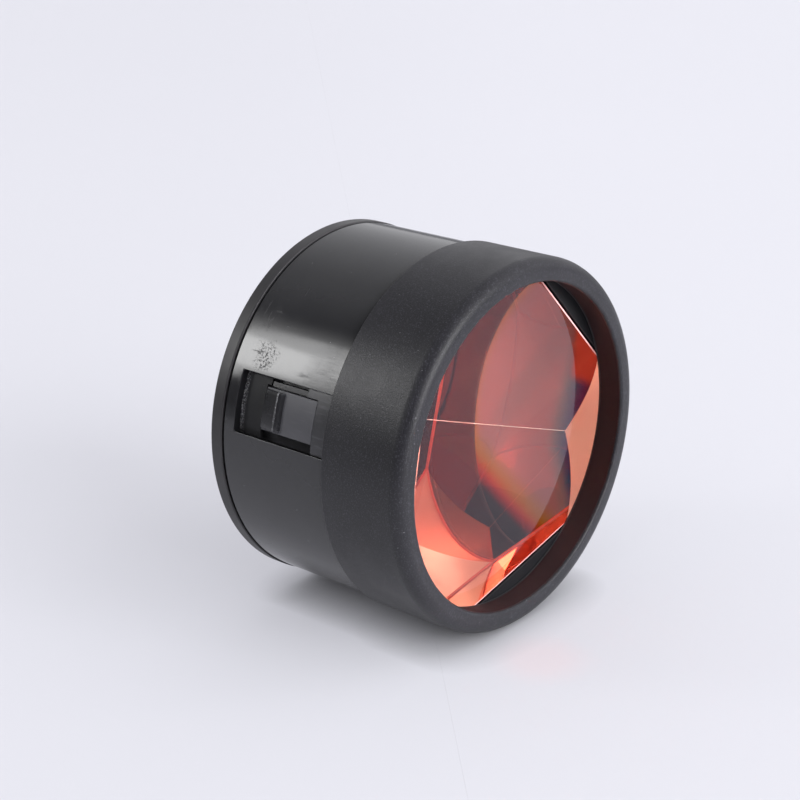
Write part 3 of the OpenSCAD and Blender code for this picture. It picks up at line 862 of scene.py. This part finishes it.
# Rear cap
bm = bmesh.new()
lathe(bm, rounded([
    # back panel, rim, groove for the seal, spigot and hollow
    (0, 55, 0), (28.2, 55, 0.5), (29.7, 52, 0.3), (39.35, 52, 0.35), (39.35, 49, 0.3),
    (37.3, 49, 0), (37.3, 46, 0.2), (35.7, 46, 0.2), (35.7, 50, 0), (28.2, 50, 0),
    (28.2, 46, 0.2), (26.2, 46, 0.2), (26.2, 53, 0), (0, 53, 0),
], 5), 240)
cutters = []
for k in range(3):
    x, y, _ = spin([(SCREW_CIRCLE, 0, 0)], LEFT + 60 + 120 * k)[0]
    # room for the boss, then the screw's hole with its countersink
    tool = bmesh.new()
    lathe(tool, [Vector(p) for p in ((0, 44), (2.95, 44), (2.95, 50), (1.04, 50), (1.04, 51.1),
                                     (1.92, 52), (1.92, 56), (0, 56))], 40)
    bmesh.ops.translate(tool, vec=(x, y, 0), verts=tool.verts)
    cutters.append(tool)
to_object("cap_shell", carve(bm, cutters), [MAT["cap"]], "rear_cap")

# CAD nodes that keep their own meshes, with softened edges
for name, key, edge in (("prism_cell", "cell", 0.12), ("rear_seal", "rubber", 0.0),
                        ("cap_screws", "steel", 0.04), ("threaded_inserts", "brass", 0.04),
                        ("follower", "follower", 0.2), ("spring_washer", "steel", 0.1),
                        ("cushion_left", "cushion", 0.3), ("cushion_upper", "cushion", 0.3),
                        ("cushion_lower", "cushion", 0.3)):
    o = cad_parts[name]
    o.data.materials.clear()
    o.data.materials.append(MAT[key])
    soften(o, edge)

# Camera
cam_data = bpy.data.cameras.new("camera")
cam_data.lens = 84.75
cam_data.sensor_width = 36.0
cam_data.clip_start = 0.01
cam_data.clip_end = 100.0
camera = bpy.data.objects.new("camera", cam_data)
bpy.context.scene.collection.objects.link(camera)
right = Vector((0.64907, -0.76058, -0.01544))
up = Vector((0.28243, 0.22208, 0.93323))
ahead = right.cross(up) * -1
spot = Vector((-0.287707, -0.242122, 0.189055))
camera.matrix_world = Matrix((
    (right.x, up.x, -ahead.x, spot.x), (right.y, up.y, -ahead.y, spot.y),
    (right.z, up.z, -ahead.z, spot.z), (0, 0, 0, 1)))
bpy.context.scene.camera = camera

# Floor
bm = bmesh.new()
bm.faces.new([bm.verts.new((x * FLOOR_HALF, y * FLOOR_HALF, 0))
              for x, y in ((-1, -1), (1, -1), (1, 1), (-1, 1))])
floor = mesh_object("floor", bm)
m, tree, shader, place = start_material("floor_pale")
mottle = noise(tree, place, 3.0, 2.0)
tree.links.new(mix(tree, mottle, (0.58, 0.58, 0.62), (0.60, 0.60, 0.64)),
               shader.inputs["Base Color"])
shader.inputs["Roughness"].default_value = 0.7
shader.inputs["Specular IOR Level"].default_value = 0.1
shade = node(tree, "BsdfDiffuse")
tree.links.new(mix(tree, mottle, (0.165, 0.165, 0.177), (0.175, 0.175, 0.187)), shade.inputs[0])
# painted shade and light in the sheet's glow: a dark contact below the canister, a wide soft shade
# round it, and more light on the right
near = node(tree, "AmbientOcclusion", Distance=0.0095).outputs["AO"]
wide = remap(tree, node(tree, "AmbientOcclusion", Distance=0.16).outputs["AO"], 0.0, 1.0, 0.60,
             1.0)
sideways = vector_node(tree, "DOT_PRODUCT", place, ACROSS)
level = remap(tree, sideways, -0.12, 0.12, 0.55, 0.58, True)
# painted light: a faint pink tint in the sheet's glow in front of the glass, where the coat throws
# its light
reach = vector_node(tree, "DISTANCE", place, (-0.0105, -0.0400, 0.0))
painted_pink_light = remap(tree, reach, 0.003, 0.013, 1.0, 0.0, True)
glow = node(tree, "Emission",
            Strength=math_node(tree, "MULTIPLY", math_node(tree, "MULTIPLY", near, wide), level))
tree.links.new(mix(tree, painted_pink_light, (1.0, 1.0, 1.095), (1.10, 0.97, 1.05)), glow.inputs["Color"])
seen = node(tree, "AddShader")
tree.links.new(shade.outputs[0], seen.inputs[0])
tree.links.new(glow.outputs[0], seen.inputs[1])
# that look is for the camera and for mirrors; on other pieces the sheet throws its own light
path = node(tree, "LightPath").outputs
direct = math_node(tree, "MAXIMUM", path["Is Camera Ray"],
                   math_node(tree, "MAXIMUM", path["Is Glossy Ray"],
                             path["Is Transmission Ray"]))
pick = node(tree, "MixShader")
for socket, value in zip(pick.inputs, (direct, shader.outputs[0], seen.outputs[0])):
    tree.links.new(value, socket)
# painted reflection: for mirrored rays the sheet fades most of the way to dark grey from 0.25 m to
# 0.75 m out, which shows in the polished barrel only
ends = math_node(tree, "MULTIPLY", path["Is Glossy Ray"],
                 remap(tree, vector_node(tree, "LENGTH", place), 0.25, 0.75, 0.0, 0.75, True))
painted_dark_reflection = node(tree, "BsdfDiffuse", Color=(0.03, 0.03, 0.03, 1.0))
end = node(tree, "MixShader")
for socket, value in zip(end.inputs, (ends, pick.outputs[0], painted_dark_reflection.outputs[0])):
    tree.links.new(value, socket)
sheet_out = next(n for n in tree.nodes if n.type == "OUTPUT_MATERIAL")
tree.links.new(end.outputs[0], sheet_out.inputs[0])
floor.data.materials.append(m)

# Light
def toward(azimuth, elevation):
    """Direction from the object: azimuth 0 is away from the camera, 90 is to its right."""
    a, e = math.radians(azimuth), math.radians(elevation)
    return (ACROSS * math.sin(a) + AWAY * math.cos(a)) * math.cos(e) + Vector((0, 0, math.sin(e)))


def softbox(name, azimuth, elevation, distance, width, height, radiance, mirrored):
    """A lamp that faces the canister, in degrees and metres; polished pieces may mirror it."""
    data = bpy.data.lights.new(name, "AREA")
    data.shape = "RECTANGLE"
    data.size, data.size_y = width, height
    data.energy = radiance * math.pi * width * height
    o = bpy.data.objects.new(name, data)
    bpy.context.scene.collection.objects.link(o)
    way = toward(azimuth, elevation)
    o.location = MIDDLE + way * distance
    o.rotation_mode = "QUATERNION"
    o.rotation_quaternion = way.to_track_quat("Z", "Y")
    o.visible_camera = False
    o.visible_glossy = mirrored


for lamp in (
        # name, azimuth, elevation, distance, width, height, radiance, mirrored
        ("softbox_left", -89.6, 27, 7.2, 1.42, 3.2, 4.2, True),
        ("softbox_left_core", -89.6, 26.6, 7.1, 1.42, 1.6, 4.7, True),
        ("softbox_front", 133, 22, 8.0, 6.0, 4.4, 15.0, False),
        ("softbox_low", 121, 11, 7.0, 2.6, 2.8, 9.0, True),
        ("softbox_right", 98, 42, 8.0, 5.0, 5.0, 4.5, False)):
    softbox(*lamp)

world = bpy.data.worlds.new("studio")
bpy.context.scene.world = world
world.use_nodes = True
tree = world.node_tree
tree.nodes.clear()
# directions in degrees, as in toward()
way = tree.nodes.new("ShaderNodeTexCoord").outputs["Generated"]
across, away, height = (vector_node(tree, "DOT_PRODUCT", way, direction)
                        for direction in (ACROSS, AWAY, (0, 0, 1)))
azimuth, elevation = (
    math_node(tree, "MULTIPLY", angle, 180 / math.pi)
    for angle in (math_node(tree, "ARCTAN2", across, away), math_node(tree, "ARCSINE", height)))
# brightness of the room's walls by azimuth, and a paler ceiling
ramp = node(tree, "ValToRGB", Fac=remap(tree, azimuth, -180, 180, 0, 1))
stops = [(-180, 0.010), (-140, 0.018), (-105, 0.05), (-78, 0.06), (-65, 0.20), (-51, 0.36),
         (-36, 0.43), (-13, 0.69), (2, 0.85), (95, 0.85), (140, 0.40), (158, 0.04)]
cr = ramp.color_ramp
while len(cr.elements) < len(stops):
    cr.elements.new(0.5)
for element, (az, value) in zip(cr.elements, stops):
    element.position = (az + 180) / 360
    element.color = (value, value, value * 1.04, 1)
walls = ramp.outputs[0]
ceiling = remap(tree, elevation, 50, 70, 0.0, 1.0, True)
lit = mix(tree, ceiling, walls, (0.45, 0.45, 0.47))


def soft(value, middle, half):
    """0 to 1 as value rises through middle, over half on both sides."""
    return remap(tree, value, middle - half, middle + half, 0.0, 1.0, True)


def inverse(value):
    """1 where value is 0, and 0 where it is 1."""
    return math_node(tree, "SUBTRACT", 1.0, value)


def product(*values):
    result = values[0]
    for value in values[1:]:
        result = math_node(tree, "MULTIPLY", result, value)
    return result


def plus(value, factor, other):
    """value + factor * other."""
    return math_node(tree, "MULTIPLY_ADD", other, factor, value)


# pale card behind the camera, seen through the glass, which spreads its edges into colours
drop = math_node(tree, "SUBTRACT", 24.1, elevation)
mouth = plus(math_node(tree, "ADD", azimuth, 159.35), 0.109, product(drop, drop))
top = plus(elevation, 0.45, math_node(tree, "ADD", azimuth, 160.0))
rise = math_node(tree, "ABSOLUTE", math_node(tree, "SUBTRACT", elevation, 23.9))
left = plus(azimuth, 0.25, rise)
below_step = inverse(soft(elevation, 21.75, 0.2))
notch = inverse(product(inverse(soft(azimuth, -164.2, 0.2)), below_step))
fade = product(remap(tree, azimuth, -163.6, -160.4, 0.58, 0.96, True),
               remap(tree, elevation, 19.6, 22.4, 0.66, 1.0, True), soft(elevation, 12, 2))
band = plus(elevation, -1.15, math_node(tree, "ADD", azimuth, 161.3))
streak = product(soft(band, 22.85, 0.35), inverse(soft(band, 24.1, 0.5)))
# one mask each for red, green and blue, shifted against each other as by a prism
card = []
for level, mouth_at, mouth_soft, top_at, top_soft, left_at, dim in (
        (0.50, 0.05, 0.12, 25.77, 0.40, -163.55, 0.22),
        (0.455, -0.12, 0.14, 25.30, 0.45, -163.95, 0.06),
        (0.57, -0.34, 0.36, 24.75, 0.60, -164.30, 0.04)):
    card.append(product(fade, inverse(soft(mouth, mouth_at, mouth_soft)),
                        inverse(soft(top, top_at, top_soft)), soft(left, left_at, 0.5), notch,
                        plus(1.0, -dim, streak), level))
# a red strip beside the card, in the notch
red = product(inverse(soft(azimuth, -164.25, 0.2)), soft(azimuth, -165.3, 0.2), below_step,
              soft(elevation, 12, 2))
card = [plus(value, share, red) for value, share in zip(card, (0.38, 0.08, 0.05))]
card = node(tree, "CombineColor", Red=card[0], Green=card[1], Blue=card[2]).outputs[0]
# glow round the softbox on the left, and a dimmer panel from there to behind the camera
halo = product(soft(azimuth, -96.0, 1.5), inverse(soft(azimuth, -76.0, 6.0)),
               soft(elevation, 14.0, 3.0), inverse(soft(elevation, 41.0, 5.0)), 2.2)
panel = product(soft(azimuth, -150.0, 6.0), inverse(soft(azimuth, -97.0, 2.0)),
                soft(elevation, 22.0, 4.0), inverse(soft(elevation, 42.0, 5.0)), 1.1)
for light in (card, halo, panel):
    lit = vector_node(tree, "ADD", lit, light)
surround = node(tree, "Background", Color=lit, Strength=1.0)
plain = node(tree, "Background", Color=(0.81, 0.81, 0.885, 1), Strength=1.0)
# the camera itself sees a plain pale backdrop
either = node(tree, "MixShader")
tree.links.new(node(tree, "LightPath").outputs["Is Camera Ray"], either.inputs[0])
tree.links.new(surround.outputs[0], either.inputs[1])
tree.links.new(plain.outputs[0], either.inputs[2])
out = tree.nodes.new("ShaderNodeOutputWorld")
tree.links.new(either.outputs[0], out.inputs[0])

scene = bpy.context.scene
scene.view_settings.view_transform = "Standard"
scene.cycles.max_bounces = 24
scene.cycles.glossy_bounces = 16
scene.cycles.transmission_bounces = 16
scene.cycles.diffuse_bounces = 6
scene.cycles.sampling_pattern = "TABULATED_SOBOL"
